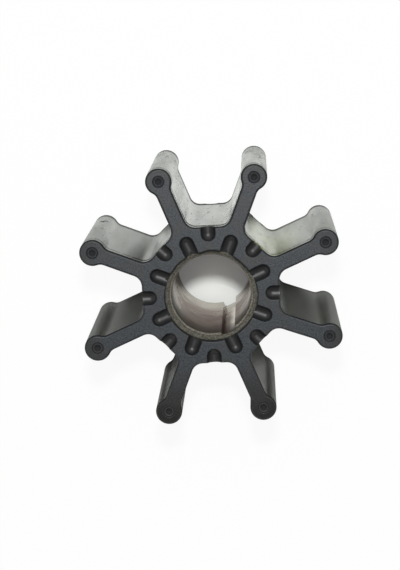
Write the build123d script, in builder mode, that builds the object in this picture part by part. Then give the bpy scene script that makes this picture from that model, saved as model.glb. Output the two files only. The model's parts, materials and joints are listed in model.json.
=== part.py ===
from build123d import *
import os

os.makedirs("parts", exist_ok=True)

# A flexible impeller for a water pump, lying flat on one end face.
# Z is the shaft's axis, and the origin is on that axis, in the lower end face.
# All lengths are in millimetres and all angles in degrees.

# Rubber body: overall size and blades
overall_diameter = 66.7
rubber_height = 50.8
blade_count = 8
blade_thickness = 3.85
bead_diameter = 6.35
bead_fillet = 2.4
hub_across_flats = 33.0
root_fillet = 2.8

# Rubber body: the fine step that the mould's end plates leave along the outline
step_width = 0.3
step_height = 0.35

# Rubber body: round-nosed recesses in both end faces, in line with the blades and between them
recess_width = 3.4
recess_depth = 1.8
long_recess_reach = 15.4
short_recess_start = 13.05

# Rubber body: the round dimple in each end of each bead
dimple_diameter = 1.45
dimple_depth = 0.6

# Hub bush: a keyed metal sleeve that the rubber is moulded round
bore_diameter = 19.05
bush_wall = 2.975
bush_recess = 2.5
lip_overlap = 1.3
mouth_chamfer = 0.3
keyway_width = 3.6
keyway_depth = 1.2

# Worked out from the sizes above
pitch_angle = 360 / blade_count
first_blade_angle = pitch_angle / 2
keyed_blade_angle = first_blade_angle - 2 * pitch_angle
hub_radius = hub_across_flats / 2
bead_centre_radius = (overall_diameter - bead_diameter) / 2
mid_blade_radius = (hub_radius + bead_centre_radius) / 2
nose_radius = recess_width / 2
bush_outer_diameter = bore_diameter + 2 * bush_wall
bush_opening_diameter = bush_outer_diameter - 2 * lip_overlap
bush_length = rubber_height - 2 * bush_recess
mid_height = rubber_height / 2
upper_face = Plane.XY.offset(rubber_height)
lower_face = Plane.XY.rotated((180, 0, 0))


def between(inner, outer):
    """A test that keeps the corners of an outline whose distance from the axis is in this range."""
    return lambda corner: inner < corner.center().length < outer


def rubber_outline(inset):
    """The body's outline, moved in by inset: a hub with flat valleys, and blades that end in round beads."""
    with BuildSketch() as outline:
        RegularPolygon(hub_radius - inset, blade_count, major_radius=False, rotation=first_blade_angle)
        with PolarLocations(bead_centre_radius / 2, blade_count, start_angle=first_blade_angle):
            Rectangle(bead_centre_radius, blade_thickness - 2 * inset)
        with PolarLocations(bead_centre_radius, blade_count, start_angle=first_blade_angle):
            Circle(bead_diameter / 2 - inset)
        root_corners = outline.vertices().filter_by(between(0, mid_blade_radius))
        fillet(root_corners, root_fillet + inset)
        bead_corners = outline.vertices().filter_by(between(mid_blade_radius, bead_centre_radius))
        fillet(bead_corners, bead_fillet + inset)
    return outline.sketch


def recess_cutter(straight_length):
    """A cutter with a half-round underside: its round nose touches the origin and it runs along +X."""
    with BuildPart() as cutter:
        with BuildSketch(Plane.YZ):
            with Locations((0, nose_radius - recess_depth)):
                Circle(nose_radius)
                Rectangle(recess_width, recess_depth, align=(Align.CENTER, Align.MIN))
        extrude(amount=nose_radius + straight_length)
        with BuildSketch(Plane.XY.offset(-recess_depth)):
            with Locations((nose_radius, 0)):
                Circle(nose_radius)
                Rectangle(straight_length, recess_width, align=(Align.MIN, Align.CENTER))
        extrude(amount=recess_depth + nose_radius, mode=Mode.INTERSECT)
    return cutter.part


# The rubber body, moulded in one piece round the bush
full_outline = rubber_outline(0)
end_outline = rubber_outline(step_width)
long_recess = recess_cutter(long_recess_reach - nose_radius)
short_recess = recess_cutter(hub_radius - short_recess_start)

with BuildPart() as rubber_body:
    with BuildSketch(Plane.XY.offset(step_height)):
        add(full_outline)
    extrude(amount=rubber_height - 2 * step_height)
    with BuildSketch():
        add(end_outline)
    extrude(amount=rubber_height)

    with Locations((0, 0, mid_height)):
        Cylinder(bush_outer_diameter / 2, bush_length, mode=Mode.SUBTRACT)
        Cylinder(bush_opening_diameter / 2, rubber_height, mode=Mode.SUBTRACT)

    for end_face in (upper_face, lower_face):
        with Locations(end_face):
            with PolarLocations(long_recess_reach, blade_count, start_angle=first_blade_angle):
                add(long_recess, rotation=(0, 0, 180), mode=Mode.SUBTRACT)
            with PolarLocations(short_recess_start, blade_count):
                add(short_recess, mode=Mode.SUBTRACT)
            with PolarLocations(bead_centre_radius, blade_count, start_angle=first_blade_angle):
                Cylinder(dimple_diameter / 2, 2 * dimple_depth, mode=Mode.SUBTRACT)

rubber_body.part.label = "rubber_body"
export_step(rubber_body.part, "parts/rubber_body.step")

# The hub bush: bored, chamfered at both mouths and cut with one keyway in line with a blade
with BuildPart() as hub_bush:
    with Locations((0, 0, mid_height)):
        Cylinder(bush_outer_diameter / 2, bush_length)
        Cylinder(bore_diameter / 2, bush_length, mode=Mode.SUBTRACT)
    bore_mouths = hub_bush.edges().filter_by(GeomType.CIRCLE).group_by(SortBy.RADIUS)[0]
    chamfer(bore_mouths, mouth_chamfer)
    with BuildSketch(Plane.XY.offset(bush_recess)):
        with PolarLocations(0, 1, start_angle=keyed_blade_angle):
            Rectangle(bore_diameter / 2 + keyway_depth, keyway_width, align=(Align.MIN, Align.CENTER))
    extrude(amount=bush_length, mode=Mode.SUBTRACT)

hub_bush.part.label = "hub_bush"
export_step(hub_bush.part, "parts/hub_bush.step")
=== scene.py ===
# %% [markdown]
# # A rubber pump impeller
#
# A flexible impeller turns inside a sea-water pump. Eight rubber blades are moulded in one piece round
# a keyed metal bush, and each blade ends in a round bead that wipes the wall of the pump's chamber.
#
# The solids of the part are fixed and come first. This lesson only gives them their looks: it rebuilds
# the rubber with its fine mould marks, dresses the bush as worn metal, and sets up a plain white table.

# %% Load the part
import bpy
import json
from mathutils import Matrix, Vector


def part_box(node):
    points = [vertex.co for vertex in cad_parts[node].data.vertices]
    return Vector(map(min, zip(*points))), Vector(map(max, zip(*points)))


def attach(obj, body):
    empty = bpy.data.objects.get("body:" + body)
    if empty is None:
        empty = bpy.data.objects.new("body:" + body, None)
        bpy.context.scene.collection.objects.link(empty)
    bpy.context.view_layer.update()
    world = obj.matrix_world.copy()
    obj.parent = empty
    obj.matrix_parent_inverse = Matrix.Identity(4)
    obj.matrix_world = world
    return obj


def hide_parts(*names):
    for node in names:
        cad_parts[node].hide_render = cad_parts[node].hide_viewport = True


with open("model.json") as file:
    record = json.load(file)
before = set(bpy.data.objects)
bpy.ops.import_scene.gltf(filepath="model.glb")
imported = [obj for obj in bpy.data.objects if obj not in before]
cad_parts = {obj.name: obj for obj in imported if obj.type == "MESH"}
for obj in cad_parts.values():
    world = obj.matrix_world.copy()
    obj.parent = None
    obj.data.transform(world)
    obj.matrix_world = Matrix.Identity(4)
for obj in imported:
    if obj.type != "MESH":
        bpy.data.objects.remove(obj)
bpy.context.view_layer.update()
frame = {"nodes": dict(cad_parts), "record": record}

import json
import math
from types import SimpleNamespace

import bmesh
import bpy
from mathutils import Matrix, Vector, noise
from mathutils.geometry import delaunay_2d_cdt

print("nodes of the part:", sorted(frame["nodes"]))

# %% [markdown]
# ## Sizes
#
# Everything is in metres, and Z is the shaft's axis. What the solids already say is read from them. The
# rest are the sizes of the mould, as a maker would write them on the drawing, in millimetres, and each
# stands with the piece that it belongs to.
#
# One blade is drawn along +X, from the middle of the valley on one side to the middle of the valley on
# the other, so that eight turned copies meet and close the ring.

# %% What the solids say
mm = 0.001
bush_low, bush_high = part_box("hub_bush")
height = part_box("rubber_body")[1].z
mid_height = height / 2
bush_radius = bush_high.x
bore_radius = frame["record"]["mounts"][0]["dims"]["r_mm"] * mm

blade_count = 8
pitch = 2 * math.pi / blade_count
first_blade = pitch / 2
keyed_blade = first_blade - 2 * pitch
print("height", round(height / mm, 2), "mm, bore radius", round(bore_radius / mm, 3), "mm")

# %% [markdown]
# ## The outline of one blade
#
# The outline is straight lines and arcs that touch without a corner: the bead, the hollow neck behind
# it, the flat side of the blade, the hollow root and the flat valley. Where two arcs touch, the line
# between their centres passes through the touching point, and that gives every angle below.
#
# The same outline is needed a little smaller near the end faces, where the mould leaves a step. Moving
# an outline inwards makes its round beads smaller and its hollow corners larger, and moves no centre. A
# curve with handles could be bent to the same shape, but it would have to be bent again for each inset.

# %% Centres of the arcs
blade_thickness = 3.85 * mm
bead_radius = 3.175 * mm
neck_radius = 2.4 * mm
hub_radius = 16.5 * mm
root_radius = 2.8 * mm
bead_centre = Vector((30.175 * mm, 0))

neck_centre = Vector((0, blade_thickness / 2 + neck_radius))
neck_centre.x = bead_centre.x - math.sqrt((bead_radius + neck_radius) ** 2 - neck_centre.y ** 2)
bead_turn = math.atan2(neck_centre.y, neck_centre.x - bead_centre.x)

valley_out = Vector((math.cos(pitch / 2), math.sin(pitch / 2)))
valley_along = Vector((math.sin(pitch / 2), -math.cos(pitch / 2)))
root_centre = Vector((0, blade_thickness / 2 + root_radius))
root_centre.x = (hub_radius + root_radius - root_centre.y * valley_out.y) / valley_out.x
root_turn = math.pi / 2 - pitch / 2
print("the bead's arc turns", round(math.degrees(bead_turn), 1), "degrees to the neck")

# %% Arcs, lines and half of the outline
bead_steps = 18
neck_steps = 8
flank_steps = 4
root_steps = 9
valley_steps = 2


def arc(centre, radius, start, end, steps):
    """Points along an arc, with both of its ends."""
    angles = [start + (end - start) * i / steps for i in range(steps + 1)]
    return [centre + radius * Vector((math.cos(a), math.sin(a))) for a in angles]


def line(start, end, steps):
    """Points along a straight line, without its start."""
    return [start.lerp(end, i / steps) for i in range(1, steps + 1)]


def short_mouth(inset, half_width):
    """Where the valley's wall meets the short recess, which is this wide at this depth."""
    return (hub_radius - inset) * valley_out + half_width * valley_along


def blade_side(inset, half_width):
    """From the bead's tip along the blade and its root to the mouth of the short recess."""
    points = arc(bead_centre, bead_radius - inset, 0, bead_turn, bead_steps)
    points += arc(neck_centre, neck_radius + inset, bead_turn - math.pi, -math.pi / 2, neck_steps)[1:]
    root = arc(root_centre, root_radius + inset, -math.pi / 2, -math.pi / 2 - root_turn, root_steps)
    points += line(points[-1], root[0], flank_steps) + root[1:]
    return points + line(root[-1], short_mouth(inset, half_width), valley_steps)


def mirrored(points):
    """The same points on the other side of the blade's middle."""
    return [Vector((p.x, -p.y)) for p in points]


def both_sides(half):
    """The whole line across the blade: the mirrored half back to the blade's middle, and then the half."""
    return mirrored(reversed(half)) + half[1:]


print("points in the outline of a blade:", len(both_sides(blade_side(0, 0))))

# %% [markdown]
# ## The recesses and the hub's opening
#
# Pegs in the mould leave round-nosed recesses in both end faces: a long one in line with each blade, open
# to the round opening of the hub, and a short one in each valley, open to the valley's wall.
#
# They could be cut with booleans, but a cut leaves long thin triangles along its edge, which show as
# streaks in the gloss. Here each recess is a bend in the same lines: the line of the wall or the opening
# runs to the recess's mouth, and a second line goes on from there to the tip of its nose.

# %% Lines round the recesses and the opening
recess_radius = 1.7 * mm
long_nose = Vector((13.7 * mm, 0))
short_nose_reach = 14.75 * mm
short_nose = short_nose_reach * valley_out
opening_radius = 11.2 * mm
shaft_axis = Vector((0, 0))
recess_steps = 4
nose_steps = 9
opening_steps = 7


def short_recess_side(inset, half_width):
    """From the mouth of the short recess, in the valley's wall, to the tip of its round nose."""
    mouth = short_mouth(inset, half_width)
    straight = [mouth] + line(mouth, short_nose + half_width * valley_along, recess_steps)
    sideways = pitch / 2 - math.pi / 2
    return straight + arc(short_nose, half_width, sideways, sideways - math.pi / 2, nose_steps)[1:]


def opening_side(widen, half_width):
    """Along the round opening of the hub, from the middle of the valley to the mouth of the long recess."""
    radius = opening_radius + widen
    return arc(shaft_axis, radius, pitch / 2, math.asin(half_width / radius), opening_steps)


def long_recess_side(widen, half_width):
    """From the mouth of the long recess, in the hub's opening, to the tip of its round nose."""
    radius = opening_radius + widen
    mouth = Vector((math.sqrt(radius ** 2 - half_width ** 2), half_width))
    straight = [mouth] + line(mouth, long_nose + Vector((0, half_width)), recess_steps)
    return straight + arc(long_nose, half_width, math.pi / 2, 0, nose_steps)[1:]


print("points round half of a short recess:", len(short_recess_side(0, recess_radius)))

# %% [markdown]
# ## Depth by depth
#
# A map maker draws a hill as contour lines, and the end of the rubber can be drawn in the same way. A row
# of points is the outline at one depth below the end face, and faces fill the strips between the rows.
# Every row has the same number of points, so the strips are plain quads.
#
# The rows show what the mould left: a rounded edge, a fine step whose corner is made darker, and recesses
# with a half-round floor, which get narrower with depth until their two walls meet. A Bevel modifier could
# round the edge, but it knows nothing of the step, its darker corner or the floors.

# %% How wide a recess is at each depth
recess_depth = 1.8 * mm
recess_rim = 0.15 * mm
floor_top = recess_depth - recess_radius
edge_steps = 4
floor_steps = 9


def rounded_edge(radius):
    """Depth and setback of the points round a quarter circle, from the end face to the wall."""
    turns = [math.pi / 2 * i / edge_steps for i in range(edge_steps + 1)]
    return [(radius * (1 - math.cos(t)), radius * (1 - math.sin(t))) for t in turns]


def recess_half_width(depth):
    """Half the width of a recess: a rounded rim at the top and a half-round floor below it."""
    into_rim = max(recess_rim - depth, 0)
    rim = recess_rim - math.sqrt(recess_rim ** 2 - into_rim ** 2)
    into_floor = max(depth - floor_top, 0)
    return math.sqrt(max(recess_radius ** 2 - into_floor ** 2, 0)) + rim


def floor_depths(start):
    """Depths from this one down to the middle of the recess's floor, closer together near the bottom."""
    first = math.asin((start - floor_top) / recess_radius)
    turns = [first + (math.pi / 2 - first) * i / floor_steps for i in range(1, floor_steps + 1)]
    return [floor_top + recess_radius * math.sin(t) for t in turns]


print("half width of a recess at the face:", round(recess_half_width(0) / mm, 2), "mm")

# %% Depths of the rows
step_width = 0.3 * mm
edge_round = 0.20 * mm
ledge_depth = 0.44 * mm
ledge_corner = 0.06 * mm
groove_depth = 0.5 * mm
wall_start = 0.53 * mm
lip_round = 0.3 * mm
lip_depth = height - bush_high.z
wall_steps = 10

outline_rows = [(depth, step_width + back) for depth, back in rounded_edge(edge_round)]
outline_rows += [(groove_depth, step_width), (ledge_depth, ledge_corner), (wall_start, 0)]
outline_rows += [(depth, 0) for depth in floor_depths(wall_start)]
wall_depths = [recess_depth + (mid_height - recess_depth) * i / wall_steps for i in range(wall_steps + 1)]
opening_rows = rounded_edge(lip_round) + [(depth, 0) for depth in floor_depths(lip_round)]
pocket_rows = [
    (opening_radius, recess_depth),
    (opening_radius, lip_depth),
    (bush_radius, lip_depth),
    (bush_radius, mid_height),
]
print("rows down the outline:", len(outline_rows), "and down the opening:", len(opening_rows))

# %% [markdown]
# ## The marks in the beads
#
# Each end of each bead has a small moulded mark: a ring groove, and inside it a round dimple, both
# darkened with painted shade. A texture could fake it, but the groove catches the light, so it is real:
# rings of points follow a profile of radius and depth, as a lathe would cut it.

# %% The profile of a bead's mark
# Each ring has its radius and its depth in millimetres, and its share of darkening, which is painted shade.
mark_profile = [
    (1.52, 0, 0), (1.51, 0.003, 0.17), (1.45, 0.02, 0.17), (1.38, 0.09, 0.3),
    (1.31, 0.18, 0.5), (1.23, 0.18, 0.5), (1.16, 0.10, 0.3), (1.09, 0.03, 0.14),
    (1.00, 0.03, 0.14), (0.92, 0.05, 0.14), (0.81, 0.11, 0.2), (0.70, 0.24, 0.4),
    (0.59, 0.40, 0.45), (0.44, 0.52, 0.45), (0.23, 0.59, 0.45), (0, 0.61, 0.45),
]
mark_profile = [(radius * mm, depth * mm, dirt_and_shade) for radius, depth, dirt_and_shade in mark_profile]
mark_points = 40


def mark_ring(radius):
    """A ring of points round the middle of the bead, closed by its first point."""
    return arc(bead_centre, radius, 0, 2 * math.pi, mark_points)


print("rings in a bead's mark:", len(mark_profile))

# %% [markdown]
# ## Weaving
#
# Rows of points become a mesh in the same way everywhere in this lesson: the points of each row are put
# down, and four neighbours from two rows make a face. Points that meet are welded at the end.
#
# Three marks are written on the points for the finishes: where the wall was polished by the mould, where
# it is darkened, by dirt and by painted shade, and where the thin skin of rubber on the bush is. A finish
# reads them as attributes.

# %% Rows of points
marks = ("wall", "dirt_and_shade", "skin")
unmarked = (0, 0, 0)


def new_mesh():
    """An empty mesh whose points carry the marks."""
    mesh = bmesh.new()
    for name in marks:
        mesh.verts.layers.float.new(name)
    return mesh


def at_height(points, z):
    """The points of a flat line, put at this height."""
    return [Vector((p.x, p.y, z)) for p in points]


def at_depth(points, depth):
    """The points of a flat line, put at this depth below the upper end face."""
    return at_height(points, height - depth)


def weave(mesh, rows, finishes=None):
    """Fills the strips between neighbouring rows of points. finishes gives each row its marks."""
    layers = [mesh.verts.layers.float[name] for name in marks]
    grid = [[mesh.verts.new(p) for p in row] for row in rows]
    for points, values in zip(grid, finishes or [unmarked] * len(grid)):
        for point in points:
            for layer, value in zip(layers, values):
                point[layer] = value
    for upper, lower in zip(grid, grid[1:]):
        for i in range(len(upper) - 1):
            mesh.faces.new((upper[i], lower[i], lower[i + 1], upper[i + 1]))


print("marks on every point:", marks)

# %% Close a mesh and show it
weld = 0.001 * mm


def close_up(mesh):
    """Welds what meets, turns the faces the same way round and smooths the shading."""
    bmesh.ops.remove_doubles(mesh, verts=mesh.verts, dist=weld)
    bmesh.ops.recalc_face_normals(mesh, faces=mesh.faces)
    for face in mesh.faces:
        face.smooth = True


def keep(name, mesh):
    """Hands a woven mesh over to Blender under this name."""
    data = bpy.data.meshes.new(name)
    open_edges = sum(not edge.is_manifold for edge in mesh.edges)
    print(name, "faces:", len(mesh.faces), "open edges:", open_edges)
    mesh.to_mesh(data)
    mesh.free()
    return data


def show(name, data):
    """Puts mesh data, a lamp or a camera into the scene."""
    made = bpy.data.objects.new(name, data)
    bpy.context.scene.collection.objects.link(made)
    return made


print("points closer than", round(weld / mm, 4), "mm are welded")

# %% [markdown]
# ## Weave one blade
#
# This is the upper half of one blade with its share of the hub. Its walls are woven from the rows above.
# The flat end face is cut out of the plane by a Delaunay triangulation, which fills any outline and leaves
# its holes open, while one large polygon with a hole in it is more than Blender's faces allow.
#
# The flat face keeps sharp edges for the shading, so that it stays perfectly flat beside its round rim.

# %% Walls, recesses and the bush's pocket
polished = (1, 0, 0)
# The corner of the step is made darker.
step_darkening = {edge_round: 0.5, groove_depth: 1.0}
# Painted shadow: the hub's opening is darkened below its rounded edge, where the lip shades the bush's end.
lip_shadow = [0.0, 0.2, 0.8]
lip_shadow += [1.0] * (len(opening_rows) - len(lip_shadow))
lip_finishes = [(0, dirt_and_shade, 0) for dirt_and_shade in lip_shadow]


def finish_of_row(depth, inset):
    """The marks of a row of the outline: polished below the step, and darker in its corner."""
    return (1.0 if inset == 0 else 0.0, step_darkening.get(depth, 0.0), 0)


def weave_outline(mesh):
    """The outline down to the middle of the blade, with both walls of the short recess."""
    depths = [depth for depth, _ in outline_rows]
    sides = [both_sides(blade_side(inset, recess_half_width(depth))) for depth, inset in outline_rows]
    finishes = [finish_of_row(depth, inset) for depth, inset in outline_rows]
    weave(mesh, [at_depth(side, depth) for side, depth in zip(sides, depths)], finishes)
    weave(mesh, [at_depth(sides[-1], depth) for depth in wall_depths], [polished] * len(wall_depths))
    recess = [short_recess_side(inset, recess_half_width(depth)) for depth, inset in outline_rows]
    for this_side in (list, mirrored):
        weave(mesh, [at_depth(this_side(row), depth) for row, depth in zip(recess, depths)])


def weave_opening(mesh):
    """The hub's opening, both walls of the long recess, and the pocket that holds the bush."""
    for this_side in (list, mirrored):
        for wall, finishes in ((opening_side, lip_finishes), (long_recess_side, None)):
            lines = [wall(widen, recess_half_width(depth)) for depth, widen in opening_rows]
            depths = [depth for depth, _ in opening_rows]
            weave(mesh, [at_depth(this_side(row), depth) for row, depth in zip(lines, depths)], finishes)
        rim = [p.normalized() for p in this_side(opening_side(0, 0))]
        weave(mesh, [at_depth([radius * p for p in rim], depth) for radius, depth in pocket_rows])


def weave_bead_mark(mesh):
    """The ring groove and the dimple in the end of the bead."""
    rings = [at_depth(mark_ring(radius), depth) for radius, depth, _ in mark_profile]
    # Painted shade: the groove and the dimple are darkened by their share of the mark.
    weave(mesh, rings, [(0, dirt_and_shade, 0) for _, _, dirt_and_shade in mark_profile])


print("dirt down the hub's opening:", lip_shadow)

# %% The flat end face and the whole half blade
keep_inside = 1
cut_tolerance = 1e-7
flat_enough = 0.9999
sharp_angle = math.radians(35)


def fill_between(mesh, border, hole):
    """Flat triangles between a closed border and a round hole in it."""
    points = border + hole
    edges = [(i, (i + 1) % len(border)) for i in range(len(border))]
    edges += [(len(border) + i, len(border) + (i + 1) % len(hole)) for i in range(len(hole))]
    cut = delaunay_2d_cdt([p / mm for p in points], edges, [], keep_inside, cut_tolerance)
    faces, came_from = cut[2], cut[3]
    corners = [mesh.verts.new(p) for p in at_height(points, height)]
    for face in faces:
        numbers = [came_from[i][0] for i in face]
        if min(numbers) < len(border):
            mesh.faces.new([corners[i] for i in numbers])


def fill_end_face(mesh):
    """The flat face between the outline, the recesses, the opening and the bead's mark."""
    half_width = recess_half_width(0)
    inset = outline_rows[0][1]
    outside = both_sides(blade_side(inset, half_width) + short_recess_side(inset, half_width)[1:])
    inside = opening_side(lip_round, half_width) + long_recess_side(lip_round, half_width)[1:]
    inside += mirrored(reversed(inside[:-1]))
    fill_between(mesh, outside + inside, mark_ring(mark_profile[0][0])[:-1])


def upper_half_blade():
    """The upper half of one blade with its share of the hub, its faces outwards."""
    mesh = new_mesh()
    weave_outline(mesh)
    weave_opening(mesh)
    fill_end_face(mesh)
    weave_bead_mark(mesh)
    close_up(mesh)
    top_faces = [face for face in mesh.faces if face.calc_center_median().z > height - weld]
    if sum(face.normal.z for face in top_faces) < 0:
        bmesh.ops.reverse_faces(mesh, faces=mesh.faces)
    for edge in mesh.edges:
        if len(edge.link_faces) == 2:
            flats = [abs(face.normal.z) > flat_enough for face in edge.link_faces]
            edge.smooth = flats[0] == flats[1] and edge.calc_face_angle() < sharp_angle
    return mesh


half_blade = keep("half_blade", upper_half_blade())

# %% [markdown]
# ## Helpers for nodes
#
# Node trees are made by many calls that look alike: add a node, set its options, then fill or link its
# inputs. One helper does all three, for geometry and for materials. The others put plain words on the
# sums that come back again and again.

# %% Add a node, and simple sums
def node(tree, kind, inputs=None, **options):
    """Adds a node. An input is given a value, or the socket that feeds it."""
    made = tree.nodes.new(kind)
    for name, value in options.items():
        setattr(made, name, value)
    for key, value in (inputs or {}).items():
        if isinstance(value, bpy.types.NodeSocket):
            tree.links.new(value, made.inputs[key])
        else:
            made.inputs[key].default_value = value
    return made


def maths(tree, operation, *values):
    """The result of a Math node."""
    return node(tree, "ShaderNodeMath", dict(enumerate(values)), operation=operation).outputs[0]


def product(tree, first, *others):
    """All the values, multiplied together."""
    result = first
    for value in others:
        result = maths(tree, "MULTIPLY", result, value)
    return result


def strongest(tree, first, *others):
    """The largest of the values."""
    result = first
    for value in others:
        result = maths(tree, "MAXIMUM", result, value)
    return result


def without(tree, value, share=1.0):
    """1 where value is 0, and less by this share where it is 1."""
    return maths(tree, "MULTIPLY_ADD", value, -share, 1.0)


print("helpers for sums: node, maths, product, strongest, without")

# %% Vectors, ramps and places
def vector_maths(tree, operation, *values):
    """The result of a Vector Math node that gives a vector."""
    return node(tree, "ShaderNodeVectorMath", dict(enumerate(values)), operation=operation).outputs[0]


def vector_value(tree, operation, *values):
    """The result of a Vector Math node that gives a number."""
    return node(tree, "ShaderNodeVectorMath", dict(enumerate(values)), operation=operation).outputs["Value"]


def scaled(tree, vector, factor):
    """The vector, made longer by this factor."""
    return node(tree, "ShaderNodeVectorMath", {0: vector, "Scale": factor}, operation="SCALE").outputs[0]


def across_axis(tree, place):
    """The place without its height: the way from the shaft's axis to it."""
    return vector_maths(tree, "MULTIPLY", place, (1, 1, 0))


def split(tree, place):
    """The X, Y and Z of a place."""
    return node(tree, "ShaderNodeSeparateXYZ", {0: place}).outputs


def ramp(tree, value, low, high, start=0.0, end=1.0):
    """Start below low, end above high, and a smooth change between them."""
    inputs = {"Value": value, "From Min": low, "From Max": high, "To Min": start, "To Max": end}
    return node(tree, "ShaderNodeMapRange", inputs, interpolation_type="SMOOTHSTEP").outputs["Result"]


def fade(tree, value, low, high):
    """1 below low, 0 above high, and a smooth change between them."""
    return ramp(tree, value, low, high, 1.0, 0.0)


print("helpers for places: vector_maths, vector_value, scaled, across_axis, split, ramp, fade")

# %% [markdown]
# ## Repeat the blade
#
# A mould maker cuts one pocket and turns the block by an eighth of a turn for the next. Geometry Nodes
# does the same: it turns the upper half over for the lower end, sets a copy at each angle round the axis,
# makes the copies real and welds them along the valleys. An Array modifier could turn the copies too, but
# it couldn't tell them apart afterwards, and here three of them lean.

# %% Copies round the shaft
def blade_ring(tree, given):
    """Both halves of a blade, turned round the shaft, made real and welded."""
    to_lower_end = node(tree, "ShaderNodeCombineXYZ", {"Z": given["Height"]}).outputs[0]
    lower_half = node(tree, "GeometryNodeTransform", {
        "Geometry": given["Half blade"], "Translation": to_lower_end, "Rotation": (math.pi, 0, 0),
    }).outputs[0]
    whole = node(tree, "GeometryNodeJoinGeometry", {"Geometry": given["Half blade"]})
    tree.links.new(lower_half, whole.inputs[0])

    places = node(tree, "GeometryNodePoints", {"Count": given["Blades"]}).outputs[0]
    number = node(tree, "GeometryNodeInputIndex").outputs[0]
    step = maths(tree, "DIVIDE", 2 * math.pi, given["Blades"])
    angle = maths(tree, "MULTIPLY_ADD", number, step, given["First angle"])
    turn = node(tree, "ShaderNodeCombineXYZ", {"Z": angle}).outputs[0]
    ring = node(tree, "GeometryNodeInstanceOnPoints", {
        "Points": places, "Instance": whole.outputs[0], "Rotation": turn,
    }).outputs[0]
    numbered = node(tree, "GeometryNodeStoreNamedAttribute", {
        "Geometry": ring, "Name": "blade_number", "Value": number,
    }, data_type="INT", domain="INSTANCE").outputs[0]
    loose = node(tree, "GeometryNodeRealizeInstances", {"Geometry": numbered}).outputs[0]
    return node(tree, "GeometryNodeMergeByDistance", {"Geometry": loose, "Distance": weld}).outputs[0]


print("blades in the ring:", blade_count)

# %% [markdown]
# ## Bend it as age does
#
# The real blades are soft and no longer stand quite true, so three beads lean a little, and the walls have
# shallow waves. The thin lip that holds the bush has drooped inwards in lumps, and most on one side. What
# is moved by hand would be lost with the next change of a size, so three small rules move it instead.

# %% Leaning beads, a drooping lip and wavy walls
bead_lean = {2: (0.33, -0.03), 6: (-0.28, 0), 7: (0, 0.40)}
wave_across = 4 * mm
wave_up = 9 * mm
lip_width = 1.0 * mm
worn_zone = (0.0, 7 * mm)
least_droop = 0.15
lump_contrast = (0.35, 0.65)
least_lump = 0.5


def attribute(tree, name, kind):
    """An attribute of the points, by its name."""
    return node(tree, "GeometryNodeInputNamedAttribute", {"Name": name}, data_type=kind).outputs[0]


def lean_of_beads(tree, past_hub):
    """How far each point moves with its blade: not at all at the hub, and fully at the bead."""
    leans = node(tree, "GeometryNodeIndexSwitch", {
        "Index": attribute(tree, "blade_number", "INT"),
    }, data_type="VECTOR")
    while len(leans.index_switch_items) < blade_count:
        leans.index_switch_items.new()
    for number, (x, y) in bead_lean.items():
        leans.inputs[1 + number].default_value = (x * mm, y * mm, 0)
    return scaled(tree, leans.outputs[0], past_hub)


def droop_of_lip(tree, place, radius, unevenness, given):
    """How far the lip reaches inwards: more on the side of +Y, and in lumps."""
    lip_end = maths(tree, "ADD", given["Opening radius"], lip_width)
    near_lip = fade(tree, radius, given["Opening radius"], lip_end)
    worn_side = ramp(tree, split(tree, place)["Y"], *worn_zone, least_droop, 1.0)
    lumps = ramp(tree, unevenness, *lump_contrast, least_lump, 1.0)
    return product(tree, near_lip, worn_side, lumps, given["Lip droop"])


def bends(tree, given):
    """The way that each point of the body is moved."""
    place = node(tree, "GeometryNodeInputPosition").outputs[0]
    outward = across_axis(tree, place)
    radius = vector_value(tree, "LENGTH", outward)
    past_hub = ramp(tree, radius, given["Hub radius"], given["Bead distance"])
    stretched = vector_maths(tree, "MULTIPLY", place, (1 / wave_across, 1 / wave_across, 1 / wave_up))
    unevenness = node(tree, "ShaderNodeTexNoise", {
        "Vector": stretched, "W": given["Seed"], "Scale": 1.0, "Detail": 1.0,
    }, noise_dimensions="4D").outputs[0]
    droop = droop_of_lip(tree, place, radius, unevenness, given)
    waves = product(tree, attribute(tree, "wall", "FLOAT"), past_hub, unevenness, given["Wall waves"])
    inward = product(tree, maths(tree, "ADD", droop, waves), -1.0)
    uneven = scaled(tree, vector_maths(tree, "NORMALIZE", outward), inward)
    return vector_maths(tree, "ADD", lean_of_beads(tree, past_hub), uneven)


print("leaning beads:", sorted(bead_lean))

# %% [markdown]
# ## The whole rubber body
#
# The tree's sizes are inputs with names, so a learner can change them on the modifier. They are set by
# the identifier of each socket, because a name may change. The result is turned into a plain mesh and the
# modifier is removed, so that nothing is left to be worked out when the part is used elsewhere.

# %% The tree and its inputs
rubber = bpy.data.materials.new("moulded rubber")
lip_droop = 0.75 * mm
wave_depth = 0.05 * mm
wave_seed = 4.0
impeller_inputs = {
    "Half blade": ("NodeSocketGeometry", None),
    "Blades": ("NodeSocketInt", blade_count),
    "First angle": ("NodeSocketFloat", first_blade),
    "Height": ("NodeSocketFloat", height),
    "Hub radius": ("NodeSocketFloat", hub_radius),
    "Bead distance": ("NodeSocketFloat", bead_centre.x),
    "Opening radius": ("NodeSocketFloat", opening_radius),
    "Lip droop": ("NodeSocketFloat", lip_droop),
    "Wall waves": ("NodeSocketFloat", wave_depth),
    "Seed": ("NodeSocketFloat", wave_seed),
    "Rubber": ("NodeSocketMaterial", rubber),
}


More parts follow.
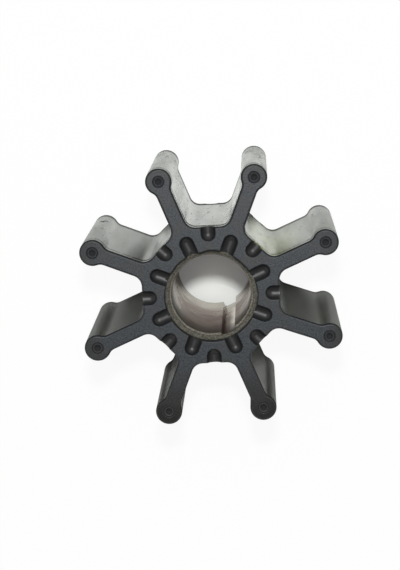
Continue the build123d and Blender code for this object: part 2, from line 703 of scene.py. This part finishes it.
def impeller_tree():
    """A tree that turns the upper half of one blade into the whole rubber body."""
    tree = bpy.data.node_groups.new("rubber_impeller", "GeometryNodeTree")
    tree.is_modifier = True
    for name, (kind, _) in impeller_inputs.items():
        tree.interface.new_socket(name, in_out="INPUT", socket_type=kind)
    tree.interface.new_socket("Body", in_out="OUTPUT", socket_type="NodeSocketGeometry")
    given = node(tree, "NodeGroupInput").outputs
    bent = node(tree, "GeometryNodeSetPosition", {
        "Geometry": blade_ring(tree, given), "Offset": bends(tree, given),
    }).outputs[0]
    finished = node(tree, "GeometryNodeSetMaterial", {"Geometry": bent, "Material": given["Rubber"]})
    node(tree, "NodeGroupOutput", {"Body": finished.outputs[0]})
    return tree


repeat_blades = impeller_tree()
print("inputs of the tree:", list(impeller_inputs))

# %% Run the tree
def run_tree(piece, tree, inputs):
    """Gives the piece the shape that the tree makes of it, as a plain mesh with its faces outwards."""
    modifier = piece.modifiers.new("repeat", "NODES")
    modifier.node_group = tree
    for socket in tree.interface.items_tree:
        if socket.in_out == "INPUT" and inputs[socket.name][1] is not None:
            modifier[socket.identifier] = inputs[socket.name][1]
    evaluated = piece.evaluated_get(bpy.context.evaluated_depsgraph_get())
    result = bpy.data.meshes.new_from_object(evaluated)
    piece.modifiers.clear()
    piece.data = result
    closed = bmesh.new()
    closed.from_mesh(result)
    bmesh.ops.recalc_face_normals(closed, faces=closed.faces)
    print("open edges:", sum(not edge.is_manifold for edge in closed.edges))
    print("volume in cubic mm:", round(closed.calc_volume() / mm ** 3))
    closed.to_mesh(result)
    closed.free()


body = show("impeller_rubber", half_blade)
run_tree(body, repeat_blades, impeller_inputs)
print("triangles:", sum(len(face.vertices) - 2 for face in body.data.polygons))

# %% [markdown]
# ## The skin on the bush's end
#
# When the rubber was moulded, a little of it ran over the bush's upper end and set there as a thin skin.
# Its inner edge is uneven, and it is torn back at the keyway, where the key goes in.
#
# A flat ring with a Solidify modifier would have a square and even edge. Here a small closed section is
# carried round the axis instead, and its inner side moves in and out with the angle.

# %% Carry the skin's section round the axis
skin_radius = 10.0 * mm
skin_thickness = 0.6 * mm
skin_top = bush_high.z + skin_thickness
skin_bevel = 0.15 * mm
skin_points = 144
skin_lumps = 3
lump_depth = 0.16 * mm
tear_depth = 0.25 * mm
tear_half_angle = 0.2
# Each corner has its share of the way out from the inner edge, its height and its share of dirt.
skin_section = [
    (1.0, skin_top, 1.0), (0.72, skin_top, 0.15), (0.15, skin_top, 0.0), (0.0, skin_top - skin_bevel, 0.0),
    (0.0, bush_high.z, 1.0), (1.0, bush_high.z, 1.0), (1.0, skin_top, 1.0),
]


def skin_point(angle, share, z):
    """A point of the skin at this angle, this share of the way from its inner to its outer edge."""
    along = Vector((math.cos(angle), math.sin(angle), 0))
    from_key = (angle - keyed_blade + math.pi) % (2 * math.pi) - math.pi
    torn = tear_depth * math.exp(-(from_key / tear_half_angle) ** 2)
    inner = skin_radius + lump_depth * noise.noise(along * skin_lumps) + torn
    return along * (inner + share * (opening_radius - inner)) + Vector((0, 0, z))


def skin_mesh():
    """The closed section of the skin, carried round the axis."""
    mesh = new_mesh()
    angles = [2 * math.pi * i / skin_points for i in range(skin_points + 1)]
    rows = [[skin_point(angle, share, z) for angle in angles] for share, z, _ in skin_section]
    weave(mesh, rows, [(0, dirt_and_shade, 1) for _, _, dirt_and_shade in skin_section])
    close_up(mesh)
    return mesh


end_skin = show("bush_end_skin", keep("bush_end_skin", skin_mesh()))
end_skin.data.materials.append(rubber)

# %% [markdown]
# ## The metal bush
#
# The bush is a bored bar with one keyway, and the rubber is moulded round it. Its mouths are worn round
# where the shaft slides in.
#
# It is woven like the rubber, row by row along the axis. Each row is the bore's round line, which steps
# out round the keyway, so the keyway needs no boolean and its long edges stay straight and sharp.

# %% Turn the bush and cut its keyway
keyway_width = 3.6 * mm
keyway_depth = 1.2 * mm
keyway_floor = bore_radius + keyway_depth
mouth_round = 0.45 * mm
bore_steps = 150
keyway_side_steps = 3
keyway_floor_steps = 10
bush_steps = 24


def bore_line(widen):
    """The closed line of the bore and its keyway, moved out by this much."""
    radius = bore_radius + widen
    side = keyway_width / 2 + widen
    floor = keyway_floor + widen
    start = math.asin(side / radius)
    points = arc(shaft_axis, radius, start, 2 * math.pi - start, bore_steps)
    points += line(points[-1], Vector((floor, -side)), keyway_side_steps)
    points += line(points[-1], Vector((floor, side)), keyway_floor_steps)
    points += line(points[-1], points[0], keyway_side_steps)
    return [Matrix.Rotation(keyed_blade, 2) @ p for p in points]


def bush_mesh():
    """The bush from its upper end down the bore to its lower end, and back up its outside."""
    mesh = new_mesh()
    length = bush_high.z - bush_low.z
    mouth = rounded_edge(mouth_round)
    levels = mouth + [(length * i / bush_steps, 0) for i in range(1, bush_steps)]
    levels += [(length - depth, widen) for depth, widen in reversed(mouth)]
    bore = [at_height(bore_line(widen), bush_high.z - depth) for depth, widen in levels]
    outside = [p.normalized() * bush_radius for p in bore_line(0)]
    upper_edge = at_height(outside, bush_high.z)
    lower_edge = at_height(outside, bush_low.z)
    weave(mesh, [upper_edge] + bore + [lower_edge, upper_edge])
    close_up(mesh)
    for edge in mesh.edges:
        edge.smooth = edge.is_manifold and edge.calc_face_angle() < sharp_angle
    return mesh


bronze = bpy.data.materials.new("worn bronze")
bush = show("worn_bush", keep("worn_bush", bush_mesh()))
bush.data.materials.append(bronze)

# %% [markdown]
# ## Effects that the finishes share
#
# Moulded rubber and worn metal age in the same few ways: a fine grain, soft smudges, and marks that are
# drawn out in one direction by a mould, a tool or a shaft. Each effect is one node group with a size in
# metres, so that both materials use it at their own size. Pictures would do the same job, but they have
# seams on a shape like this, and they blur close up.

# %% Fine grain
faint = 0.3
full = 0.7


def effect(name, size_names):
    """A shader group that turns a place and some sizes into one value. Returns it and its inputs."""
    group = bpy.data.node_groups.new(name, "ShaderNodeTree")
    group.interface.new_socket("Place", in_out="INPUT", socket_type="NodeSocketVector")
    for size_name in size_names:
        group.interface.new_socket(size_name, in_out="INPUT", socket_type="NodeSocketFloat")
    group.interface.new_socket("Value", in_out="OUTPUT", socket_type="NodeSocketFloat")
    return group, node(group, "NodeGroupInput").outputs


def grain_effect():
    """Fine specks of the given size, from 0 to 1."""
    group, given = effect("grain", ["Size"])
    scale = maths(group, "DIVIDE", 1.0, given["Size"])
    specks = node(group, "ShaderNodeTexNoise", {"Vector": given["Place"], "Scale": scale, "Detail": 2.0})
    node(group, "NodeGroupOutput", {"Value": ramp(group, specks.outputs[0], faint, full)})
    return group


grain = grain_effect()
print("effect:", grain.name)

# %% Soft smudges
smudge_thin = 0.72
smudge_gain = 0.44
smudge_edge = 0.12


def smudge_effect():
    """Soft cloudy patches. Cover is the share of the surface that they take."""
    group, given = effect("smudges", ["Size", "Cover"])
    scale = maths(group, "DIVIDE", 1.0, given["Size"])
    clouds = node(group, "ShaderNodeTexNoise", {
        "Vector": given["Place"], "Scale": scale, "Detail": 5.0, "Roughness": 0.6, "Distortion": 0.4,
    }).outputs[0]
    middle = maths(group, "SUBTRACT", smudge_thin, product(group, given["Cover"], smudge_gain))
    low = maths(group, "SUBTRACT", middle, smudge_edge)
    high = maths(group, "ADD", middle, smudge_edge)
    node(group, "NodeGroupOutput", {"Value": ramp(group, clouds, low, high)})
    return group


smudges = smudge_effect()
print("effect:", smudges.name)

# %% Marks that are drawn out
def drawn_effect():
    """Streaks or rings: Across is their size over the surface, and Along their size up the axis."""
    group, given = effect("drawn marks", ["Across", "Along"])
    across = maths(group, "DIVIDE", 1.0, given["Across"])
    along = maths(group, "DIVIDE", 1.0, given["Along"])
    scales = node(group, "ShaderNodeCombineXYZ", {"X": across, "Y": across, "Z": along}).outputs[0]
    place = vector_maths(group, "MULTIPLY", given["Place"], scales)
    drawn_out = node(group, "ShaderNodeTexNoise", {"Vector": place, "Scale": 1.0, "Detail": 3.0}).outputs[0]
    node(group, "NodeGroupOutput", {"Value": ramp(group, drawn_out, faint, full)})
    return group


drawn = drawn_effect()
print("effect:", drawn.name)

# %% Mix colours and values
def clear_tree(owner):
    """The empty node tree of a material or world."""
    owner.use_nodes = True
    owner.node_tree.nodes.clear()
    return owner.node_tree


def use(tree, group, place, **sizes):
    """The value of one of the effects in a material."""
    return node(tree, "ShaderNodeGroup", {"Place": place, **sizes}, node_tree=group).outputs[0]


def mix_colour(tree, factor, first, second):
    """Colour first where factor is 0, and second where it is 1."""
    inputs = {"Factor": factor, 6: first, 7: second}
    return node(tree, "ShaderNodeMix", inputs, data_type="RGBA").outputs[2]


def mix_value(tree, factor, first, second):
    """Value first where factor is 0, and second where it is 1."""
    return node(tree, "ShaderNodeMix", {0: factor, 2: first, 3: second}).outputs[0]


def mark(tree, name):
    """One of the marks that were woven into the mesh."""
    return node(tree, "ShaderNodeAttribute", attribute_name=name).outputs["Fac"]


print("helpers for finishes: clear_tree, use, mix_colour, mix_value, mark")

# %% Bands and spots
band_core = 0.4


def band(tree, value, centre, half_width):
    """1 in the core of a band and 0 beyond its half width."""
    away = maths(tree, "ABSOLUTE", maths(tree, "SUBTRACT", value, centre))
    return fade(tree, away, half_width * band_core, half_width)


def near(tree, place, centre, stretch, zone):
    """1 inside a spot and 0 outside it. stretch makes the spot shorter or longer along each axis."""
    away = vector_maths(tree, "MULTIPLY", vector_maths(tree, "SUBTRACT", place, centre), stretch)
    return fade(tree, vector_value(tree, "LENGTH", away), *zone)


print("a band is full over", band_core, "of its half width")

# %% [markdown]
# ## The rubber's finish
#
# The end faces come off a dull part of the mould, so they are matt, blue-black and slightly speckled. The
# walls were polished by the mould and are glossy. Seen from above they mirror the paper under them, which
# is why they look pale although the rubber is black.
#
# Years of handling left the rest: smudges, faint upright streaks, a faint second line a little below the
# step, a green-yellow stain in one valley and a scuff on one bead. The corner of the step is made darker,
# and the top of the hub's opening and the marks in the beads are darkened with painted shade.
#
# First come the masks: values from 0 to 1 that say where each kind of wear is. The marks of the mesh give
# some of them, and the place of a point gives the rest, so that no picture has to be painted. A zone is the
# pair of places between which a mask changes.

# %% Where the rubber is worn
stain_place = (15.5 * mm, 14 * mm, 30 * mm)
stain_stretch = (1, 1, 0.2)
stain_zone = (3 * mm, 9 * mm)
scuff_place = (-27.0 * mm, 14.6 * mm, 14 * mm)
scuff_stretch = (0.5, 1, 0.4)
scuff_zone = (0.4 * mm, 1.1 * mm)
scrape_contrast = (0.4, 0.6)
spot_stretch = (1, 1, 0.2)
wiped_zone = (27 * mm, 32 * mm)
handled_zone = (-26 * mm, -15 * mm)
recess_zone = (0.1 * mm, 0.9 * mm)
washed_half_width = 4.8 * mm
washed_share = 0.7
grain_size = 0.35 * mm


def rubber_masks(tree):
    """Everything that the rubber's colours and gloss are mixed by."""
    place = node(tree, "ShaderNodeTexCoord").outputs["Object"]
    apart = split(tree, place)
    up = apart["Z"]
    depth = maths(tree, "MINIMUM", up, maths(tree, "SUBTRACT", height, up))
    radius = vector_value(tree, "LENGTH", across_axis(tree, place))
    washed_valley = band(tree, radius, hub_radius, washed_half_width)
    upright = vector_maths(tree, "MULTIPLY", place, spot_stretch)
    scrapes = use(tree, drawn, place, Across=3 * mm, Along=3 * mm)
    scuffed = near(tree, place, scuff_place, scuff_stretch, scuff_zone)
    return SimpleNamespace(
        up=up,
        side=apart["Y"],
        depth=depth,
        radius=radius,
        wall=mark(tree, "wall"),
        skin=mark(tree, "skin"),
        dirt_and_shade=product(tree, mark(tree, "dirt_and_shade"), without(tree, washed_valley, washed_share)),
        specks=use(tree, grain, place, Size=grain_size),
        clouds=use(tree, drawn, place, Across=4 * mm, Along=30 * mm),
        streaks=use(tree, drawn, place, Across=1.2 * mm, Along=60 * mm),
        spots=use(tree, smudges, upright, Size=1.5 * mm, Cover=0.2),
        smudged=use(tree, smudges, place, Size=5 * mm, Cover=0.3),
        wiped=ramp(tree, radius, *wiped_zone),
        handled_side=fade(tree, apart["Y"], *handled_zone),
        recessed=ramp(tree, depth, *recess_zone),
        stain=near(tree, place, stain_place, stain_stretch, stain_zone),
        scuff=product(tree, scuffed, ramp(tree, scrapes, *scrape_contrast)),
    )


print("stain at", stain_place, "and scuff at", scuff_place)

# %% [markdown]
# ## The rubber's colours
#
# Rubber is black, but no black is the same all over: the faces are bluer, the handled blades browner, the
# recesses plainer and darker, which is painted shade, and the skin on the bush is khaki with dried dirt.
# Dirt and painted shade darken some corners. Each colour is laid over the one before it by its mask, as a
# painter would glaze a model.

# %% Colours of the rubber
face_dark = (0.0015, 0.0033, 0.0052, 1)
face_pale = (0.027, 0.034, 0.041, 1)
handled_brown = (0.021, 0.0185, 0.0145, 1)
wiped_black = (0.010, 0.010, 0.009, 1)
# Painted shade: the recesses are made plainer and darker than the faces round them.
recess_shade_black = (0.010, 0.010, 0.010, 1)
wall_dark = (0.016, 0.018, 0.014, 1)
wall_pale = (0.050, 0.054, 0.044, 1)
# Dirt and painted shade: darkens the corner of the step, the top of the hub's opening and the marks in the
# beads.
dirt_and_shade_black = (0.003, 0.003, 0.003, 1)
khaki_dark = (0.030, 0.029, 0.020, 1)
khaki_pale = (0.104, 0.099, 0.079, 1)
stain_green = (0.31, 0.34, 0.15, 1)
smudged_share = 0.5
handled_share = 0.6
wiped_share = 0.6
dirt_and_shade_share = 0.9
spots_through_stain = 0.6


def face_colour(tree, at):
    """The matt end faces, browner where hands have been, and plainer and darker in the recesses as painted
    shade.
    """
    smudged = product(tree, at.smudged, smudged_share)
    handled = strongest(tree, smudged, product(tree, at.handled_side, handled_share))
    colour = mix_colour(tree, at.specks, face_dark, face_pale)
    colour = mix_colour(tree, handled, colour, handled_brown)
    colour = mix_colour(tree, product(tree, at.wiped, wiped_share), colour, wiped_black)
    return mix_colour(tree, at.recessed, colour, recess_shade_black)


def rubber_colour(tree, at):
    """Faces, walls, dirt and painted shade in the corners, the khaki skin on the bush and the stain in one
    valley.
    """
    wall = mix_colour(tree, at.clouds, wall_dark, wall_pale)
    khaki = mix_colour(tree, at.specks, khaki_dark, khaki_pale)
    stained = product(tree, at.stain, at.wall, without(tree, at.spots, spots_through_stain))
    colour = mix_colour(tree, at.wall, face_colour(tree, at), wall)
    colour = mix_colour(tree, product(tree, at.dirt_and_shade, dirt_and_shade_share), colour, dirt_and_shade_black)
    colour = mix_colour(tree, at.skin, colour, khaki)
    return mix_colour(tree, stained, colour, stain_green)


print("the stain is", round(sum(stain_green[:3]) / sum(wall_pale[:3]), 1), "times as bright as a clean wall")

# %% [markdown]
# ## The rubber's gloss
#
# Gloss tells most about age. A wall that mirrors the paper looks new, and a dull one looks rubbed, dusty
# or dried out. A rough texture over everything would lose that difference, so one mask says how dull each
# place is: it raises the roughness and takes away the thin film of polish, which is the shader's coat.

# %% How dull the walls are
dusty_zone = (-6 * mm, 22 * mm)
foot_zone = (2 * mm, 5 * mm)
second_line_depth = 2.9 * mm
second_line_half_width = 1.5 * mm
streak_contrast = (-0.3, 0.4)
outer_walls = (18 * mm, 24 * mm)
outer_share = 0.5
dust_share = 0.64
second_line_share = 1.0
spot_share = 0.4
scuff_share = 0.95
foot_share = 0.9


def dullness(tree, at):
    """How dull the walls have become: on the dusty side, in a second line below the step, and in spots."""
    below_step = band(tree, at.depth, second_line_depth, second_line_half_width)
    fainter_outside = ramp(tree, at.radius, *outer_walls, 1.0, outer_share)
    second_line = product(tree, below_step, ramp(tree, at.streaks, *streak_contrast), fainter_outside)
    dusty_side = fade(tree, at.side, *dusty_zone)
    foot = fade(tree, at.up, *foot_zone)
    shares = (
        (dusty_side, dust_share),
        (second_line, second_line_share),
        (at.spots, spot_share),
        (at.scuff, scuff_share),
        (foot, foot_share),
    )
    return strongest(tree, *[product(tree, mask, share) for mask, share in shares])


print("the dustiest wall keeps", round(1 - dust_share, 2), "of its polish")

# %% Roughness of the rubber
face_roughness = 0.46
recess_roughness = 0.44
polish_clear = 0.13
polish_cloudy = 0.28
dull_roughness = 0.8
crust_roughness = 0.85
darkening_for_a_crust = 0.25
wiped_face_change = -0.05
handled_face_change = -0.15
wiped_wall_change = 0.05


def rubber_roughness(tree, at, dull):
    """Matt faces, polished walls that have dulled, and a dry crust where the dirt-and-shade mark or the skin
    is.
    """
    face = maths(tree, "MULTIPLY_ADD", at.wiped, wiped_face_change, face_roughness)
    face = maths(tree, "MULTIPLY_ADD", at.handled_side, handled_face_change, face)
    face = mix_value(tree, at.recessed, face, recess_roughness)
    polish = mix_value(tree, at.clouds, polish_clear, polish_cloudy)
    polish = maths(tree, "MULTIPLY_ADD", at.wiped, wiped_wall_change, polish)
    wall = mix_value(tree, dull, polish, dull_roughness)
    crusted = strongest(tree, ramp(tree, at.dirt_and_shade, 0, darkening_for_a_crust), at.skin)
    return mix_value(tree, crusted, mix_value(tree, at.wall, face, wall), crust_roughness)


print("roughness from", polish_clear, "on a polished wall to", crust_roughness, "on dirt")

# %% The whole rubber finish
rubber_shine = 0.38
film_roughness = 0.15
film_on_walls = 0.55
film_on_beads = 0.27
film_on_stain = 0.95
grain_height = 0.012 * mm
even_height = 0.5
bump_strength = 0.5


def rubber_finish():
    """The whole material: colour, roughness, film and grain on one Principled shader."""
    tree = clear_tree(rubber)
    at = rubber_masks(tree)
    dull = dullness(tree, at)
    film = mix_value(tree, at.wiped, film_on_walls, film_on_beads)
    film = mix_value(tree, at.stain, film, film_on_stain)
    relief = mix_value(tree, at.wall, at.specks, even_height)
    bump = node(tree, "ShaderNodeBump", {
        "Height": relief, "Distance": grain_height, "Strength": bump_strength,
    })
    surface = node(tree, "ShaderNodeBsdfPrincipled", {
        "Base Color": rubber_colour(tree, at),
        "Roughness": rubber_roughness(tree, at, dull),
        "Specular IOR Level": rubber_shine,
        "Coat Weight": product(tree, at.wall, film, without(tree, dull)),
        "Coat Roughness": film_roughness,
        "Normal": bump.outputs[0],
    })
    node(tree, "ShaderNodeOutputMaterial", {"Surface": surface.outputs[0]})


rubber_finish()
print("rubber finish:", len(rubber.node_tree.nodes), "nodes")

# %% [markdown]
# ## The bush's finish
#
# The bush is a copper alloy that has worked in sea water. Its ends are dull and grainy. The bore is worn
# smooth in rings, with a red-brown tarnish above its lowest third, and it is darker near its upper mouth.
# The floor of the keyway is brown, with a painted highlight on one side and painted shade along its corners.
#
# Clean metal mirrors the light and tints it, so a brown colour alone would look like brown metal. Tarnish
# and the dark band at the upper mouth therefore also lower the metallic share, and each has its own
# roughness.

# %% Where the bush is worn
tarnish_zone = (7 * mm, 19 * mm)
tarnish_between_bands = 0.45
keyed_side = (-8.6 * mm, -2 * mm)
tarnish_far_side = 0.33
# The bore is made darker and less metallic near its upper mouth.
upper_band_zone = (1.5 * mm, 14 * mm)
upper_band_share = 0.9
end_zone = (0.10 * mm, 0.40 * mm)
keyway_zone = (bore_radius + 0.05 * mm, bore_radius + 0.3 * mm)
keyway_rise = (3 * mm, 16 * mm)
# Painted highlight: one side of the keyway's floor is made bright.
highlight_side_zone = (-0.6 * mm, 0.9 * mm)
# Painted shade along both corners of the keyway's floor.
corner_shade_zone = (1.45 * mm, 1.75 * mm)


def bronze_masks(tree):
    """Everything that the bush's colours and gloss are mixed by."""
    place = node(tree, "ShaderNodeTexCoord").outputs["Object"]
    apart = split(tree, place)
    above_lower_end = maths(tree, "SUBTRACT", apart["Z"], bush_low.z)
    below_upper_end = maths(tree, "SUBTRACT", bush_high.z, apart["Z"])
    radius = vector_value(tree, "LENGTH", across_axis(tree, place))
    key_side = (-math.sin(keyed_blade), math.cos(keyed_blade), 0)
    from_key = vector_value(tree, "DOT_PRODUCT", place, key_side)
    keyway = ramp(tree, radius, *keyway_zone)
    highlight_side = ramp(tree, from_key, *highlight_side_zone)
    bands = use(tree, drawn, place, Across=9 * mm, Along=8 * mm)
    tarnish = product(
        tree,
        ramp(tree, above_lower_end, *tarnish_zone),
        mix_value(tree, bands, tarnish_between_bands, 1.0),
        ramp(tree, apart["Y"], *keyed_side, 1.0, tarnish_far_side),
        without(tree, product(tree, keyway, highlight_side)),
    )
    return SimpleNamespace(
        keyway=product(tree, keyway, ramp(tree, above_lower_end, *keyway_rise)),
        corner_shade=ramp(tree, maths(tree, "ABSOLUTE", from_key), *corner_shade_zone),
        highlight_side=highlight_side,
        tarnish=tarnish,
        upper_band=product(tree, fade(tree, below_upper_end, *upper_band_zone), upper_band_share),
        end=fade(tree, maths(tree, "MINIMUM", above_lower_end, below_upper_end), *end_zone),
        specks=use(tree, grain, place, Size=grain_size),
        clouds=use(tree, smudges, place, Size=4 * mm, Cover=0.5),
        rings=use(tree, drawn, place, Across=40 * mm, Along=1.2 * mm),
    )


print("keyway at", round(math.degrees(keyed_blade), 1), "degrees")

# %% Colours of the bush
worn_dark = (0.33, 0.315, 0.285, 1)
worn_pale = (0.46, 0.445, 0.415, 1)
tarnish_brown = (0.24, 0.115, 0.090, 1)
keyway_brown = (0.17, 0.11, 0.09, 1)
# The painted highlight on one side of the keyway's floor.
keyway_highlight = (0.78, 0.76, 0.72, 1)
# The painted shade in the keyway's corners.
corner_shade_brown = (0.12, 0.085, 0.07, 1)
# The colour of the dark band near the bore's upper mouth.
upper_band_dark = (0.050, 0.045, 0.032, 1)
end_dark = (0.055, 0.052, 0.040, 1)
end_pale = (0.17, 0.16, 0.135, 1)


def bronze_colour(tree, at):
    """Worn metal, tarnish, the keyway's floor with its painted highlight and painted shade, the dark upper
    band and the grainy ends.
    """
    floor = mix_colour(tree, at.highlight_side, keyway_brown, keyway_highlight)
    floor = mix_colour(tree, at.corner_shade, floor, corner_shade_brown)
    colour = mix_colour(tree, at.rings, worn_dark, worn_pale)
    colour = mix_colour(tree, at.tarnish, colour, tarnish_brown)
    colour = mix_colour(tree, at.keyway, colour, floor)
    colour = mix_colour(tree, at.upper_band, colour, upper_band_dark)
    return mix_colour(tree, at.end, colour, mix_colour(tree, at.specks, end_dark, end_pale))


print("tarnish reddens the metal", round(tarnish_brown[0] / tarnish_brown[2], 2), "to 1")

# %% The whole finish of the bush
worn_smooth = 0.18
worn_cloudy = 0.27
tarnish_roughness = 0.34
upper_band_roughness = 0.45
end_roughness = 0.7
metal_in_upper_band = 0.44
metal_lost_to_tarnish = 0.55
bronze_tint = (0.96, 0.915, 0.88, 1)
ring_height = 0.015 * mm


def bronze_roughness(tree, at):
    """Smooth where the shaft has worn it, and rougher with tarnish, in the dark upper band and on the ends.
    """
    roughness = mix_value(tree, at.clouds, worn_smooth, worn_cloudy)
    roughness = mix_value(tree, at.tarnish, roughness, tarnish_roughness)
    roughness = mix_value(tree, at.upper_band, roughness, upper_band_roughness)
    return mix_value(tree, at.end, roughness, end_roughness)


def bronze_finish():
    """The whole material: colour, metal share, roughness and the fine rings on one Principled shader."""
    tree = clear_tree(bronze)
    at = bronze_masks(tree)
    upper_band_metal = mix_value(tree, at.upper_band, 1.0, metal_in_upper_band)
    tarnished = without(tree, at.tarnish, metal_lost_to_tarnish)
    metal = product(tree, without(tree, at.end), upper_band_metal, tarnished)
    relief = mix_value(tree, at.end, at.rings, at.specks)
    bump = node(tree, "ShaderNodeBump", {
        "Height": relief, "Distance": ring_height, "Strength": bump_strength,
    })
    surface = node(tree, "ShaderNodeBsdfPrincipled", {
        "Base Color": bronze_colour(tree, at),
        "Roughness": bronze_roughness(tree, at),
        "Metallic": metal,
        "Specular Tint": bronze_tint,
        "Normal": bump.outputs[0],
    })
    node(tree, "ShaderNodeOutputMaterial", {"Surface": surface.outputs[0]})


bronze_finish()
print("bronze finish:", len(bronze.node_tree.nodes), "nodes")

# %% [markdown]
# ## The table
#
# The part lies on white paper, so bright that the picture shows no edge of it. More light would do that,
# but it would also wash out the rubber. Instead the paper is ordinary white paper for the light that falls
# on it, nearly plain white for the camera and, away from the part's foot, plain white in reflections.
#
# Inside the bore it stays mostly ordinary paper, because there the shadow shows that the hole goes through.
# A tenth of plain white glow is still mixed in there for the camera: painted light that lifts the shadow.

# %% White paper
paper_reach = 3.0
paper_white = (0.80, 0.82, 0.785, 1)
bore_edge = (11 * mm, 11.5 * mm)
# Painted light: a tenth of plain white glow for the camera inside the bore, which lifts the shadow there.
painted_light_in_bore = 0.10
foot_edge = (40 * mm, 60 * mm)
far_paper = (90 * mm, 220 * mm)
white_near_part = 0.93
plain_white = (1, 1, 1, 1)

paper = bpy.data.materials.new("white paper")
sheet = bpy.data.meshes.new("table")
corners = [(-paper_reach, -paper_reach, 0), (paper_reach, -paper_reach, 0),
           (paper_reach, paper_reach, 0), (-paper_reach, paper_reach, 0)]
sheet.from_pydata(corners, [], [(0, 1, 2, 3)])
sheet.materials.append(paper)
table = show("table", sheet)


def paper_finish():
    """Diffuse paper for the light, and plain white for the camera and for distant reflections."""
    tree = clear_tree(paper)
    from_axis = vector_value(tree, "LENGTH", node(tree, "ShaderNodeTexCoord").outputs["Object"])
    ray = node(tree, "ShaderNodeLightPath").outputs
    outside_bore = ramp(tree, from_axis, *bore_edge, painted_light_in_bore, 1.0)
    outside_foot = ramp(tree, from_axis, *foot_edge)
    seen = product(tree, ray["Is Camera Ray"], outside_bore)
    in_a_mirror = product(tree, ray["Is Glossy Ray"], outside_foot)
    shown = strongest(tree, seen, in_a_mirror, ray["Is Transmission Ray"])
    whiteness = product(tree, shown, ramp(tree, from_axis, *far_paper, white_near_part, 1.0))
    lit = node(tree, "ShaderNodeBsdfDiffuse", {"Color": paper_white}).outputs[0]
    blank = node(tree, "ShaderNodeEmission", {"Color": plain_white, "Strength": 1.0}).outputs[0]
    mixed = node(tree, "ShaderNodeMixShader", {0: whiteness, 1: lit, 2: blank}).outputs[0]
    node(tree, "ShaderNodeOutputMaterial", {"Surface": mixed})


paper_finish()
print("paper reaches", paper_reach, "metres each way")

# %% [markdown]
# ## The room
#
# The soft light comes from one bright patch of a dim ceiling, a little towards +Y, as from a large window
# in the roof. An area lamp could stand there, but the walls of the rubber would mirror its square edge.
# The sky itself is brighter there instead, with a smooth edge, and it stays white for the camera.

# %% A bright patch in the ceiling
room_dark = 0.12
room_bright = 2.6
ceiling_tilt = math.radians(24)
ceiling_middle = math.radians(12)
ceiling_edge = math.radians(27)
backdrop_low = math.radians(30)
backdrop_high = math.radians(60)
white_room = bpy.data.worlds.new("white room")
bpy.context.scene.world = white_room


def room_light():
    """The ceiling's light on the part, and a white backdrop for the camera and for mirrors."""
    tree = clear_tree(white_room)
    ray = node(tree, "ShaderNodeLightPath").outputs
    aim = node(tree, "ShaderNodeTexCoord").outputs["Generated"]
    patch = (0, math.sin(ceiling_tilt), math.cos(ceiling_tilt))
    towards = vector_value(tree, "DOT_PRODUCT", aim, patch)
    edge, middle = math.cos(ceiling_edge), math.cos(ceiling_middle)
    ceiling = ramp(tree, towards, edge, middle, room_dark, room_bright)
    beside = fade(tree, split(tree, aim)["Z"], math.sin(backdrop_low), math.sin(backdrop_high))
    mirrors = strongest(tree, ray["Is Glossy Ray"], ray["Is Transmission Ray"])
    backdrop = strongest(tree, ray["Is Camera Ray"], product(tree, mirrors, beside))
    strength = mix_value(tree, backdrop, ceiling, 1.0)
    sky = node(tree, "ShaderNodeBackground", {"Color": plain_white, "Strength": strength}).outputs[0]
    node(tree, "ShaderNodeOutputWorld", {"Surface": sky})


room_light()
print("ceiling patch tilted by", round(math.degrees(ceiling_tilt)), "degrees")

# %% [markdown]
# ## The lamp
#
# A second, small light stands close to the camera. It draws the soft-edged shadow inside the bore and the
# short glints in the recesses. A point lamp with a radius does both, where a sun would give no falloff.

# %% A lamp beside the camera
lamp_power = 9.7
lamp_radius = 17 * mm
lamp_place = Vector((14.5, 150, 560)) * mm
lamp_data = bpy.data.lights.new("lamp", "POINT")
lamp_data.energy = lamp_power
lamp_data.shadow_soft_size = lamp_radius
lamp = show("lamp", lamp_data)
lamp.location = lamp_place
print("lamp", round(lamp_place.length, 3), "metres from the part's foot")

# %% [markdown]
# ## The camera
#
# The photograph was taken from above and slightly from the side of +Y, by a camera that was turned a
# little. The camera's place, aim, turn and focal length were worked out from the centres of the beads in
# the photograph, and its axes are written out here, because a Track To constraint can't hold the turn.

# %% Camera
eye = Vector((13.140, 77.549, 542.764)) * mm
target = Vector((-3.340, -1.187, 25.4)) * mm
roll = math.radians(2.906)
focal_length = 131.62
back = (eye - target).normalized()
level_right = Vector((0, 1, 0)).cross(back).normalized()
level_up = back.cross(level_right)
up = math.cos(roll) * level_up + math.sin(roll) * level_right
right = up.cross(back)

camera_data = bpy.data.cameras.new("camera")
camera_data.lens = focal_length
camera = show("camera", camera_data)
camera.matrix_world = Matrix.Translation(eye) @ Matrix((right, up, back)).transposed().to_4x4()
bpy.context.scene.camera = camera
bpy.context.scene.view_settings.view_transform = "Standard"
print("camera", round((eye - target).length, 3), "metres from the part's middle")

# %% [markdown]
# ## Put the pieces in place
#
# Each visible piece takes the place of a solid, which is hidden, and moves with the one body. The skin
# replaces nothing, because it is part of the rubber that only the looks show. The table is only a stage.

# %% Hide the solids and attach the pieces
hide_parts("rubber_body")
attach(body, "root")
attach(end_skin, "root")
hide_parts("hub_bush")
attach(bush, "root")
